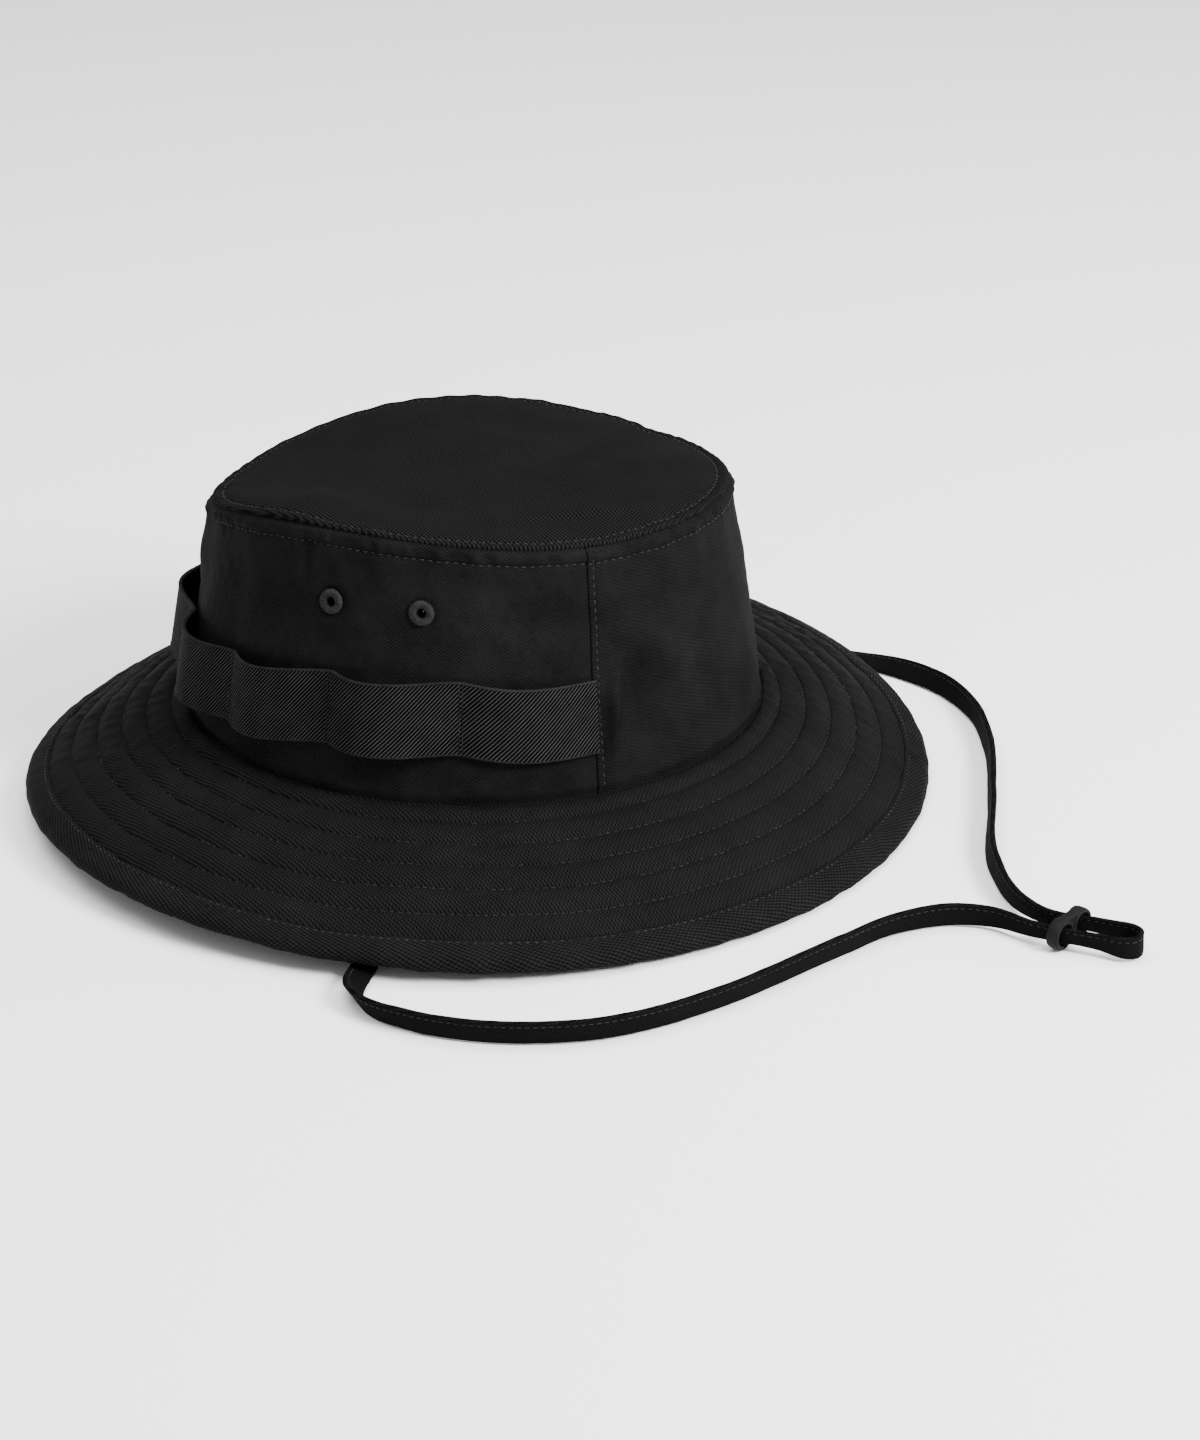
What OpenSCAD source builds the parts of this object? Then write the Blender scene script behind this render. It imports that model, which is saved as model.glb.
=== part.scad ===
// Boonie-style bucket hat: soft crown, stitched brim, webbing loops, eyelets and a
// chin cord with a slider.  Millimetres, +Z up.  The hat stands on its brim on z = 0,
// its front faces -Y, and the wearer's right side is -X.

/* [Crown] */
// Half width of the head opening, across the head
opening_rx = 93; // [86:1:102]
// Half length of the head opening, front to back
opening_ry = 99.5; // [92:1:108]
// Mean height of the crown and brim seam over the surface
seat_height = 34; // [30:1:40]
// Half width of the oval tip at its seam
tip_rx = 76.5; // [68:0.5:84]
// Half length of the oval tip at its seam
tip_ry = 89; // [80:0.5:95]
// Mean height of the tip seam over the surface
tip_height = 109.5; // [100:0.5:120]
// Rise of the tip's middle over its seam
tip_dome = 5; // [2:0.5:10]
// Thickness of the crown cloth
cloth = 0.9; // [0.6:0.1:1.4]
// Angle of each front seam from the middle of the front
front_half_angle = 48.5; // [40:0.5:56]

/* [Brim] */
// Width of the brim in plan
brim_width = 57.5; // [50:0.5:65]
// Thickness of each of the two brim cloths
brim_cloth = 0.8; // [0.6:0.1:1]
// Thickness of the stiff layer between them
interlining = 1; // [0.6:0.1:1.4]
// Width of the folded edge binding
binding_width = 8; // [6:0.5:10]
// Number of stitch rows round the brim
stitch_rows = 6; // [4:1:7]

/* [Webbing] */
// Width of the elastic webbing
webbing_width = 24; // [20:1:26]
// Thickness of the webbing
webbing_thick = 1.4; // [1:0.1:1.8]
// Height of the webbing's lower edge over the crown seam
webbing_rise = 14.5; // [12:0.5:18]
// Loops on each side
loops_per_side = 5; // [3:1:6]

/* [Eyelets] */
// Outer radius of an eyelet
eyelet_r = 4.4; // [3.5:0.1:5]
// Radius of its hole
eyelet_hole_r = 1.3; // [1:0.1:2]
// Height of the eyelets over the surface
eyelet_height = 95.3; // [88:0.5:98]

/* [Sweatband] */
// Height of the sweatband inside the crown
sweatband_height = 30; // [24:1:34]
// Thickness of the sweatband
sweatband_thick = 1.2; // [0.8:0.1:1.6]

/* [Cord and slider] */
// Thickness of the folded tape that makes the chin cord
tape_thick = 1.8; // [1.4:0.1:2]
// Distance between the slider's two holes
slider_pitch = 10; // [9.6:0.2:11]
// Radius of each slider hole
slider_hole_r = 3.5; // [3.4:0.1:3.7]
// Width of the slider's wall round each hole
slider_wall = 1.5; // [1.2:0.1:1.5]
// Thickness of the slider along the cord
slider_thick = 3.4; // [3:0.2:6]

/* [Hidden] */

cloth_colour = "#26272a";
under_colour = "#1d1e20";
lining_colour = "#3a3b3e";
webbing_colour = "#2e2f31";
thread_colour = "#4a4b4e";
rubber_colour = "#35363a";

// The soft hat is not quite regular.  Each row is [n, cosine, sine] of a wave that goes
// n times round the hat, in mm of height.
edge_mean = 4.5;
EDGE_WAVE = [[1, 1.6, 1.2], [2, 4, -2], [3, 1.2, 1]];
SEAT_WAVE = [[1, 0, 1.3]];
TIP_WAVE = [[1, -4.4, -3], [2, 3.7, 0], [3, -0.2, 2.8]];
// The crown leans forward by this much for each mm of height.
crown_lean = 0.013;

rear_angle = 90;
right_seam = 270 - front_half_angle;
left_seam = -90 + front_half_angle;
side_arc = right_seam - rear_angle;
rear_part = 67;
step = 5;
// Air left between two layers that lie on each other
ply_gap = 0.2;

binding_thick = 0.8;
binding_gap = 2 * brim_cloth + interlining;
first_row = 6;
row_pitch = (brim_width - binding_width - first_row) / (stitch_rows - 1);
stitch_width = 1;
stitch_proud = 0.3;

// Slack of the ten loops, from the front right seam round the back to the front left one
LOOP_SLACK = [3, 6, 4.5, 6, 7, 9, 10, 7, 6, 3];
// How the webbing rises and dips round the crown
WEBBING_WAVE = [[1, 0.1, -3.5], [2, 0.1, 0.2], [3, -1.2, 1.5], [4, 1.5, 0.7]];
loop_arc = side_arc / loops_per_side;
tack_width = 1.4;
tack_proud = 0.6;
tack_lift = 1.2;

// What lies on the inside of the wall has its outer face here
lining_t = -cloth - ply_gap;
tape_arc = 4;
tape_depth = 0.6;
tip_tape_width = 7;

EYELET_ANGLES = [167.5, 187.2, 12.5, -7.2];
eyelet_thick = 1.6;

label_width = 28;
label_drop = 20;
label_thick = 0.5;

anchor_width = 8;
anchor_thick = 1.8;
anchor_top = 32;
anchor_drop = 9;

slider_centre = [-70, -220, 5.2];
slider_heading = -99;
// The bead sits a little askew on its two strands
slider_turn = -14;
strand = slider_pitch / 2;

// Route of the chin cord: [x, y, z, roll, width].  Roll 0 lies flat and 90 stands on edge.
NEAR_STRAND = [
    [-92, -4, 22, 0, 8], [-96, -5, 14, 0, 8], [-104, -6, 7, 0, 8], [-134, -11, 1.7, 8, 8],
    [-149, -12.5, 2.4, 22, 8], [-157, -13.5, 3.1, 40, 8], [-164, -16.5, 3.8, 56, 8],
    [-170, -23, 4.1, 68, 8], [-174.5, -36, 4.3, 77, 8], [-176, -56, 4.3, 80, 8],
    [-172, -78, 4.3, 80, 8], [-165, -95, 4.3, 80, 8], [-154, -110, 4.3, 80, 8],
    [-138, -125, 4.3, 80, 8], [-98, -153, 4.3, 80, 8], [-79, -167, 4.3, 80, 8],
    [-69, -182, 4.3, 85, 8], [-68, -196, 4.6, 90, 7]];
// Along the slider's heading, sideways, height, roll and width
SLIDER_RUN = [
    [-11, 1, 5.2, 90, 5.6], [12, 1, 5.2, 90, 5.6], [21, 0.84, 4.6, 90, 7.4],
    [23, 0.4, 4.4, 90, 7.8], [23, -0.4, 4.4, 90, 7.8], [21, -0.84, 4.6, 90, 7.4],
    [12, -1, 5.2, 90, 5.6], [-11, -1, 5.2, 90, 5.6]];
FAR_STRAND = [
    [-56, -202, 4.6, 90, 7], [-32, -189, 4.3, 80, 8], [14, -179, 4.3, 80, 8],
    [57, -169, 4.3, 80, 8], [81, -159, 4.3, 80, 8], [101, -143, 3.8, 65, 8],
    [112, -126, 3, 40, 8], [119, -106, 1.8, 10, 8], [122, -88, 1.5, 0, 8],
    [121, -68, 1.5, 0, 8], [117, -48, 1.5, 0, 8],
    [103, -17, 7, 0, 8], [97, -9, 14, 0, 8], [92, -4, 22, 0, 8]];

function wave(rows, a) = [for (w = rows) w[1] * cos(w[0] * a) + w[2] * sin(w[0] * a)] *
                         [for (w = rows) 1];
function mix(a, b, t) = a + (b - a) * t;
function edge_z(a) = edge_mean + wave(EDGE_WAVE, a);
function seat_z(a) = seat_height + wave(SEAT_WAVE, a);
function tip_z(a) = tip_height + wave(TIP_WAVE, a);
function leaned(x, y, z) = [x, y - crown_lean * z, z];

// A point of the crown wall: s from 0 at the brim to 1 at the tip, t mm outward
function wall_point(a, s, t) = leaned(
    (mix(opening_rx, tip_rx, s) + t) * cos(a),
    (mix(opening_ry, tip_ry, s) + t) * sin(a),
    mix(seat_z(a), tip_z(a), s));
function wall_share(a, z) = (z - seat_z(a)) / (tip_z(a) - seat_z(a));

// A point of the brim: d mm out from the crown seam, h mm over its middle layer
brim_half = binding_gap / 2 + binding_thick;
function brim_point(a, d, h) = leaned(
    (opening_rx + d) * cos(a),
    (opening_ry + d) * sin(a),
    mix(seat_z(a) - brim_half, edge_z(a) + brim_half, d / brim_width) + h);

// Solid through a list of rings with the same number of points each.  An open one is
// closed at both ends by quads that join each ring's first half to its second.  A side
// quad is split along its shorter diagonal, so layers on the same rings follow each other.
module sweep(rings, closed = false) {
    n = len(rings);
    m = len(rings[0]);
    sides = [for (i = [0:closed ? n - 1 : n - 2], j = [0:m - 1])
        let (k = (i + 1) % n, l = (j + 1) % m,
             a = i * m + j, b = i * m + l, c = k * m + l, d = k * m + j)
        each norm(rings[i][j] - rings[k][l]) < norm(rings[i][l] - rings[k][j])
            ? [[a, b, c], [a, c, d]]
            : [[a, b, d], [b, c, d]]];
    lid = [for (j = [0:m / 2 - 2])
        each [[j, m - 1 - j, m - 2 - j], [j, m - 2 - j, j + 1]]];
    last = (n - 1) * m;
    foot = [for (f = lid) [last + f[0], last + f[2], last + f[1]]];
    polyhedron(points = [for (r = rings) each r],
               faces = closed ? sides : concat(sides, lid, foot));
}

// Section of a layer on the crown wall, between s0 and s1 and between t0 and t1
function wall_section(a, s0, s1, t0, t1, rows = 6) = concat(
    [for (i = [0:rows]) wall_point(a, mix(s0, s1, i / rows), t1)],
    [for (i = [rows:-1:0]) wall_point(a, mix(s0, s1, i / rows), t0)]);

// Section of a layer of the brim, between d0 and d1 and between h0 and h1
function brim_section(a, d0, d1, h0, h1) =
    [brim_point(a, d0, h1), brim_point(a, d0, h0), brim_point(a, d1, h0), brim_point(a, d1, h1)];

module wall_arc(a0, a1, s0, s1, t0, t1, rows = 6) {
    n = ceil((a1 - a0) / step);
    sweep([for (i = [0:n]) wall_section(mix(a0, a1, i / n), s0, s1, t0, t1, rows)]);
}

module brim_ring(d0, d1, h0, h1) {
    sweep([for (a = [0:step:359]) brim_section(a, d0, d1, h0, h1)], closed = true);
}

// Places its children on the wall at an angle and a height, with +Z pointing outward
module on_wall(a, z) {
    s = wall_share(a, z);
    p = wall_point(a, s, 0);
    up = wall_point(a, s + 0.05, 0) - wall_point(a, s - 0.05, 0);
    along = wall_point(a + 1, s, 0) - wall_point(a - 1, s, 0);
    out = cross(along, up) / norm(cross(along, up));
    translate(p)
        rotate([0, 0, atan2(out[1], out[0])])
            rotate([0, acos(out[2]), 0])
                children();
}

module eyelet_holes() {
    for (a = EYELET_ANGLES)
        on_wall(a, eyelet_height)
            cylinder(r = eyelet_r, h = 12, center = true, $fn = 48);
}

module crown_tip() {
    rings = 6;
    // Each ring of the tip runs from the seam inward
    function tip_point(a, q, drop) =
        let (p = wall_point(a, 1, 0), mid = leaned(0, 0, tip_height),
             flat = mix(mid, p, q))
        flat + [0, 0, tip_dome * (1 - q * q) - drop];
    color(cloth_colour)
        sweep([for (a = [0:step:359]) concat(
            [for (i = [0:rings]) tip_point(a, 1 - 0.97 * i / rings, -cloth)],
            [for (i = [rings:-1:0]) tip_point(a, 1 - 0.97 * i / rings, 0)])], closed = true);
    color(cloth_colour)
        translate(leaned(0, 0, tip_height + tip_dome))
            cylinder(r = 3, h = cloth, $fn = 24);
}

module front_panel() {
    color(cloth_colour) wall_arc(right_seam - 360, left_seam, 0, 1, -cloth, 0);
}

// Each side panel is one cloth in two nodes, which meet behind its eyelets
module side_panel(a0, a1) {
    color(cloth_colour)
        difference() {
            wall_arc(a0, a1, 0, 1, -cloth, 0);
            eyelet_holes();
        }
}

module side_panel_right() {
    side_panel(rear_angle + rear_part, right_seam);
}

module side_panel_right_rear() {
    color(cloth_colour) wall_arc(rear_angle, rear_angle + rear_part, 0, 1, -cloth, 0);
}

module side_panel_left() {
    side_panel(left_seam, rear_angle - rear_part);
}

module side_panel_left_rear() {
    color(cloth_colour) wall_arc(rear_angle - rear_part, rear_angle, 0, 1, -cloth, 0);
}

module tip_seam_tape() {
    share = tip_tape_width / (tip_height - seat_height);
    color(lining_colour)
        sweep([for (a = [0:step:359])
            wall_section(a, 1 - share, 1, lining_t - tape_depth, lining_t, 1)], closed = true);
}

module seam_tape(a) {
    low = (sweatband_height + 2) / (tip_height - seat_height);
    high = 1 - (tip_tape_width + 2) / (tip_height - seat_height);
    color(lining_colour)
        wall_arc(a - tape_arc, a + tape_arc, low, high, lining_t - tape_depth, lining_t, 4);
}

module seam_tape_front_right() {
    seam_tape(right_seam);
}

module seam_tape_front_left() {
    seam_tape(left_seam);
}

module seam_tape_rear() {
    seam_tape(rear_angle);
}

module sweatband() {
    share = sweatband_height / (tip_height - seat_height);
    color(lining_colour)
        sweep([for (a = [0:step:359])
            wall_section(a, 0, share, lining_t - sweatband_thick, lining_t, 2)], closed = true);
}

module brim_upper() {
    color(cloth_colour)
        brim_ring(0, brim_width - 1, interlining / 2, interlining / 2 + brim_cloth - ply_gap);
}

module brim_interlining() {
    h = interlining / 2 - ply_gap;
    color(lining_colour) brim_ring(0, brim_width - 1, -h, h);
}

module brim_under() {
    color(under_colour)
        brim_ring(0, brim_width - 1, -interlining / 2 - brim_cloth + ply_gap, -interlining / 2);
}

// Folded tape round the edge of the brim
module brim_binding() {
    d0 = brim_width - binding_width;
    d1 = brim_width - 1;
    g = binding_gap / 2;
    color(under_colour)
        sweep([for (a = [0:step:359]) [
            brim_point(a, d0, g + binding_thick), brim_point(a, d0, g), brim_point(a, d1, g),
            brim_point(a, d1, -g), brim_point(a, d0, -g), brim_point(a, d0, -brim_half),
            brim_point(a, brim_width - 0.6, -brim_half), brim_point(a, brim_width, 1 - brim_half),
            brim_point(a, brim_width, brim_half - 1), brim_point(a, brim_width - 0.6, brim_half)]],
            closed = true);
}

module brim_stitching() {
    base = interlining / 2 + brim_cloth + ply_gap / 2;
    color(thread_colour)
        for (i = [0:stitch_rows - 2])
            let (d = first_row + i * row_pitch)
                brim_ring(d, d + stitch_width, base, base + stitch_proud);
}

// How far the webbing stands off the wall at angle b round from the front right seam.
// Each loop bulges most near its rear end.
function slack(b) =
    let (i = min(floor(b / loop_arc), 2 * loops_per_side - 1), x = b / loop_arc - i,
         back = i < loops_per_side ? x : 1 - x)
    0.1 + LOOP_SLACK[i] * pow(sin(180 * pow(back, 1.5)), 1.2);

function webbing_z(a) = seat_z(a) + webbing_rise + wave(WEBBING_WAVE, a);

module webbing_band() {
    steps = 8;
    n = 2 * loops_per_side * steps;
    color(webbing_colour)
        sweep([for (i = [0:n])
            let (b = loop_arc * i / steps,
                 a = right_seam - b,
                 t = slack(b),
                 s0 = wall_share(a, webbing_z(a)),
                 s1 = wall_share(a, webbing_z(a) + webbing_width))
            [wall_point(a, s0, t), wall_point(a, s1, t),
             wall_point(a, s1, t + webbing_thick), wall_point(a, s0, t + webbing_thick)]]);
}

module webbing_bar_tacks() {
    half = asin(tack_width / 2 / opening_rx);
    color(thread_colour)
        for (i = [1:2 * loops_per_side - 1])
            let (a = right_seam - i * loop_arc,
                 s0 = wall_share(a, webbing_z(a) + 1),
                 s1 = wall_share(a, webbing_z(a) + webbing_width - 1),
                 t = slack(0) + webbing_thick + tack_lift)
                sweep([for (b = [a - half, a + half]) wall_section(b, s0, s1, t, t + tack_proud, 1)]);
}

module eyelets() {
    color(thread_colour)
        for (a = EYELET_ANGLES)
            on_wall(a, eyelet_height)
                translate([0, 0, -eyelet_thick / 2 - cloth / 2])
                    rotate_extrude($fn = 48)
                        translate([eyelet_hole_r, 0])
                            square([eyelet_r - eyelet_hole_r, eyelet_thick]);
}

module care_label() {
    t = lining_t - sweatband_thick - ply_gap;
    half = label_width / 2 / opening_ry * 57.3;
    s0 = (sweatband_height - label_drop) / (tip_height - seat_height);
    s1 = sweatband_height / (tip_height - seat_height);
    a = rear_angle + 14;
    color(lining_colour) wall_arc(a - half, a + half, s0, s1, t - label_thick, t, 1);
}

// Tab sewn into the crown seam, which holds one end of the cord
module cord_anchor(side) {
    color(under_colour)
        translate([side * (opening_rx - 0.6) - (side > 0 ? anchor_thick : 0),
                   -4 - anchor_width / 2, anchor_top - anchor_drop])
            cube([anchor_thick, anchor_width, anchor_drop]);
}

module cord_anchor_right() {
    cord_anchor(-1);
}

module cord_anchor_left() {
    cord_anchor(1);
}

// The stretch through the slider, from its own directions into the hat's
function slider_point(p) = [
    slider_centre[0] + p[0] * cos(slider_heading) + p[1] * strand * sin(slider_heading),
    slider_centre[1] + p[0] * sin(slider_heading) - p[1] * strand * cos(slider_heading),
    p[2], p[3], p[4]];

CORD = concat(NEAR_STRAND, [for (p = SLIDER_RUN) slider_point(p)], FAR_STRAND);

function xyz(p) = [p[0], p[1], p[2]];
function unit(v) = v / norm(v);
function cord_way(i) =
    unit(xyz(CORD[min(i + 1, len(CORD) - 1)]) - xyz(CORD[max(i - 1, 0)]));

// Eight-sided flat section of the tape at one point of its route
function tape_ring(i) =
    let (p = CORD[i], way = cord_way(i), level = unit(cross(way, [0, 0, 1])),
         upright = cross(level, way),
         wide = level * cos(p[3]) + upright * sin(p[3]),
         thin = cross(way, wide),
         w = p[4] / 2, h = tape_thick / 2)
    [for (q = [[1, 0.5], [0.8, 1], [-0.8, 1], [-1, 0.5], [-1, -0.5], [-0.8, -1], [0.8, -1], [1, -0.5]])
        xyz(p) + wide * w * q[0] + thin * h * q[1]];

module chin_cord() {
    color(under_colour) sweep([for (i = [0:len(CORD) - 1]) tape_ring(i)]);
}

// Oval bead with two holes and a rim round each hole on both faces
module cord_slider() {
    r = slider_hole_r + slider_wall;
    rim = 0.6;
    color(rubber_colour)
        translate(slider_centre)
            rotate([0, 90, slider_heading + slider_turn])
                difference() {
                    union() {
                        for (y = [-strand, strand])
                            translate([0, y, -slider_thick / 2])
                                cylinder(r = r, h = slider_thick, $fn = 48);
                        translate([1 - r, -strand, -slider_thick / 2])
                            cube([2 * r - 2, 2 * strand, slider_thick]);
                        for (y = [-strand, strand])
                            translate([0, y, -slider_thick / 2 - rim])
                                cylinder(r = r - 0.6, h = slider_thick + 2 * rim, $fn = 48);
                    }
                    for (y = [-strand, strand])
                        translate([0, y, 0])
                            cylinder(r = slider_hole_r, h = 2 * slider_thick, center = true, $fn = 48);
                }
}

crown_tip();
front_panel();
side_panel_right();
side_panel_right_rear();
side_panel_left();
side_panel_left_rear();
tip_seam_tape();
seam_tape_front_right();
seam_tape_front_left();
seam_tape_rear();
sweatband();
brim_upper();
brim_interlining();
brim_under();
brim_binding();
brim_stitching();
webbing_band();
webbing_bar_tacks();
eyelets();
care_label();
cord_anchor_right();
cord_anchor_left();
chin_cord();
cord_slider();
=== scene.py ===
"""Boonie-style bucket hat: cloth, stitching, webbing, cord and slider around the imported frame.

Lengths in the shape functions are millimetres in the hat's own frame, +Z up, front
towards -Y.  Angles are in degrees, 0 at +X and 90 at the rear.  Meshes are in metres.
"""
import math
import bpy
import numpy as np
from mathutils import Matrix, Vector


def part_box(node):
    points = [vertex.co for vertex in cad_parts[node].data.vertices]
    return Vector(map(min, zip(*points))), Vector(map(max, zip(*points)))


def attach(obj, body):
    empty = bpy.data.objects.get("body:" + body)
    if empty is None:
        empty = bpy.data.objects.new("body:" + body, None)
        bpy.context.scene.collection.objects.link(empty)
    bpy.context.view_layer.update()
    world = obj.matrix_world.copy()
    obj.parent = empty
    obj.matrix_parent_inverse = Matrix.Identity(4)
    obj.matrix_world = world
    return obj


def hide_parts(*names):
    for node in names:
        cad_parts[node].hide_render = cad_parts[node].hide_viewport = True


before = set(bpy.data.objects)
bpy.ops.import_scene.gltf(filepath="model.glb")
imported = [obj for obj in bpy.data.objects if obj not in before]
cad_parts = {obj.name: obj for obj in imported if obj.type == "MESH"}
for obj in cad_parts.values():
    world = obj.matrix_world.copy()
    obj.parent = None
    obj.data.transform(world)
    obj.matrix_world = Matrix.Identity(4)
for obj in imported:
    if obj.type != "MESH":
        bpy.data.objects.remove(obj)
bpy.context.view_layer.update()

MM = 0.001

# The hat's own sizes, as in the CAD model
OPENING_RX, OPENING_RY = 93.0, 99.5
SEAT_HEIGHT = 34.0
TIP_RX, TIP_RY = 76.5, 89.0
TIP_HEIGHT = 109.5
TIP_DOME = 4.6
FRONT_HALF_ANGLE = 48.5
BRIM_WIDTH = 57.5
BRIM_HALF = 2.1
BINDING_WIDTH = 8.0
STITCH_ROWS = 6
FIRST_ROW = 6.0
ROW_PITCH = (BRIM_WIDTH - BINDING_WIDTH - FIRST_ROW) / (STITCH_ROWS - 1)
# Distance of each stitch row from the crown seam: the last one is at the binding's edge
ROWS = [FIRST_ROW + i * ROW_PITCH for i in range(STITCH_ROWS)]
WEBBING_WIDTH = 24.0
WEBBING_THICK = 1.4
WEBBING_RISE = 14.5
LOOPS_PER_SIDE = 5
# How far each loop bulges, from the front right seam round the back
LOOP_SLACK = [3, 6, 4.5, 6, 7, 9, 10, 7, 6, 3]
EYELET_HEIGHT = 95.3
EYELET_RIM = 4.0
EYELET_CUT = 2.6
EYELET_ANGLES = [167.5, 187.2, 12.5, -7.2]
SWEATBAND_HEIGHT = 30.0
SWEATBAND_THICK = 1.2
EDGE_MEAN = 4.5
# Waves that go round the hat: how many, cosine share and sine share
EDGE_WAVE = [[1, 1.6, 1.2], [2, 4, -2], [3, 1.2, 1]]
SEAT_WAVE = [[1, 0, 1.3]]
WEBBING_WAVE = [[1, 0.1, -3.5], [2, 0.1, 0.2], [3, -1.2, 1.5], [4, 1.5, 0.7]]
TIP_WAVE = [[1, -4.4, -3], [2, 3.7, 0], [3, -0.2, 2.8]]
CROWN_LEAN = 0.013
REAR = 90.0
RIGHT_SEAM = 270 - FRONT_HALF_ANGLE
LEFT_SEAM = -90 + FRONT_HALF_ANGLE
SIDE_ARC = RIGHT_SEAM - REAR
LOOP_ARC = SIDE_ARC / LOOPS_PER_SIDE
BINDING_JOIN = -78.0
# Radii and heights that turn angles and shares into mm of cloth
WALL_RADIUS = 96.0
WALL_SPAN = 78.0
WALL_DROP = 76.0
TIP_RADIUS = 84.0
EDGE_RADIUS = 152.0
WEAVE_RADIUS = 92.0
# Thickness of each cloth as it is drawn
CROWN_CLOTH = 0.8
BRIM_CLOTH = 0.6
BINDING_CLOTH = 0.5
TAB_CLOTH = 1.7
# How deep the crown's top seam sits below the cloth on both sides of it
SEAM_SINK = 1.1


# ---------------------------------------------------------------- camera and light

def add_camera():
    """The camera looks at the hat's right side from a little in front and above."""
    azimuth, elevation, roll = (math.radians(v) for v in (-72.25, 25.46, -1.55))
    distance = 1.2
    target = Vector((0.0181, -0.0395, 0.0155))
    back = Vector((math.sin(azimuth) * math.cos(elevation),
                   -math.cos(azimuth) * math.cos(elevation), math.sin(elevation)))
    level = Vector((math.cos(azimuth), math.sin(azimuth), 0))
    up = back.cross(level)
    right = level * math.cos(roll) + up * math.sin(roll)
    up = back.cross(right)
    data = bpy.data.cameras.new("camera")
    data.lens = 86.1
    data.sensor_width = 36
    data.clip_start = 0.05
    data.clip_end = 20
    camera = bpy.data.objects.new("camera", data)
    axes = Matrix((right, up, back)).transposed().to_4x4()
    camera.matrix_world = Matrix.Translation(target + back * distance) @ axes
    bpy.context.scene.collection.objects.link(camera)
    bpy.context.scene.camera = camera


add_camera()


# ---------------------------------------------------------------- cord route

SLIDER_CENTRE = (-70.0, -220.0, 5.2)
SLIDER_HEADING = math.radians(-99)
SLIDER_TURN = math.radians(-14)
SLIDER_THICK = 3.4
SLIDER_RIM = 0.55
SLIDER_HOLE = 3.5
SLIDER_END = 5.0
SLIDER_BEVEL = 0.7
# How far each strand runs from the slider's middle
STRAND = 5.0
TAPE_THICK = 1.8
# x, y, z, roll and width: roll 0 lies flat and 90 stands on edge
NEAR_STRAND = [
    [-92, -4, 22, 0, 8], [-96, -5, 14, 0, 8], [-104, -6, 7, 0, 8], [-134, -11, 1.7, 8, 8],
    [-149, -12.5, 2.4, 22, 8], [-157, -13.5, 3.1, 40, 8], [-164, -16.5, 3.8, 56, 8],
    [-170, -23, 4.1, 68, 8], [-174.5, -36, 4.3, 77, 8], [-176, -56, 4.3, 80, 8],
    [-172, -78, 4.3, 80, 8], [-165, -95, 4.3, 80, 8], [-154, -110, 4.3, 80, 8],
    [-138, -125, 4.3, 80, 8], [-98, -153, 4.3, 80, 8], [-79, -167, 4.3, 80, 8],
    [-69, -182, 4.3, 85, 8], [-68, -196, 4.6, 90, 7]]
# Along the slider's heading, sideways in strands, height, roll and width
SLIDER_RUN = [
    [-11, 1, 5.2, 90, 5.6], [12, 1, 5.2, 90, 5.6], [21, 0.84, 4.6, 90, 7.4],
    [23, 0.4, 4.4, 90, 7.8], [23, -0.4, 4.4, 90, 7.8], [21, -0.84, 4.6, 90, 7.4],
    [12, -1, 5.2, 90, 5.6], [-11, -1, 5.2, 90, 5.6]]
FAR_STRAND = [
    [-56, -202, 4.6, 90, 7], [-32, -189, 4.3, 80, 8], [14, -179, 4.3, 80, 8],
    [57, -169, 4.3, 80, 8], [81, -159, 4.3, 80, 8], [101, -143, 3.8, 65, 8],
    [112, -126, 3, 40, 8], [119, -106, 1.8, 10, 8], [122, -88, 1.5, 0, 8],
    [121, -68, 1.5, 0, 8], [117, -48, 1.5, 0, 8],
    [103, -17, 7, 0, 8], [97, -9, 14, 0, 8], [92, -4, 22, 0, 8]]


def slider_point(point):
    """A point of the run through the slider, in the hat's frame."""
    along, side, height, roll, width = point
    cos_h, sin_h = math.cos(SLIDER_HEADING), math.sin(SLIDER_HEADING)
    return [SLIDER_CENTRE[0] + along * cos_h + side * STRAND * sin_h,
            SLIDER_CENTRE[1] + along * sin_h - side * STRAND * cos_h, height, roll, width]


def smooth_route(points, spacing):
    """Smooth curve through the points, paced by distance, with about one spacing per step."""
    p = np.array(points, float)
    chord = np.linalg.norm(np.diff(p[:, :3], axis=0), axis=1)
    slope = np.diff(p, axis=0) / chord[:, None]
    inner = (slope[:-1] * chord[1:, None] + slope[1:] * chord[:-1, None])
    inner /= (chord[:-1] + chord[1:])[:, None]
    tangent = np.vstack([slope[:1], inner, slope[-1:]])
    out = []
    for i, length in enumerate(chord):
        count = max(int(round(length / spacing)), 2)
        for u in np.arange(count) / count:
            leave = tangent[i] * length * (u ** 3 - 2 * u ** 2 + u)
            arrive = tangent[i + 1] * length * (u ** 3 - u ** 2)
            start = p[i] * (2 * u ** 3 - 3 * u ** 2 + 1) + leave
            end = p[i + 1] * (3 * u ** 2 - 2 * u ** 3) + arrive
            out.append(start + end)
    out.append(p[-1])
    return np.array(out)


ROUTE = smooth_route(NEAR_STRAND + [slider_point(p) for p in SLIDER_RUN] + FAR_STRAND, 2.5)


# ---------------------------------------------------------------- shape functions

def wave(rows, a):
    """Sum of the waves that go round the hat at angle a."""
    return sum(c * np.cos(np.radians(n * a)) + s * np.sin(np.radians(n * a)) for n, c, s in rows)


def mix(a, b, t):
    return a + (b - a) * t


def seat_z(a):
    return SEAT_HEIGHT + wave(SEAT_WAVE, a)


def tip_z(a):
    return TIP_HEIGHT + wave(TIP_WAVE, a)


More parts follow.
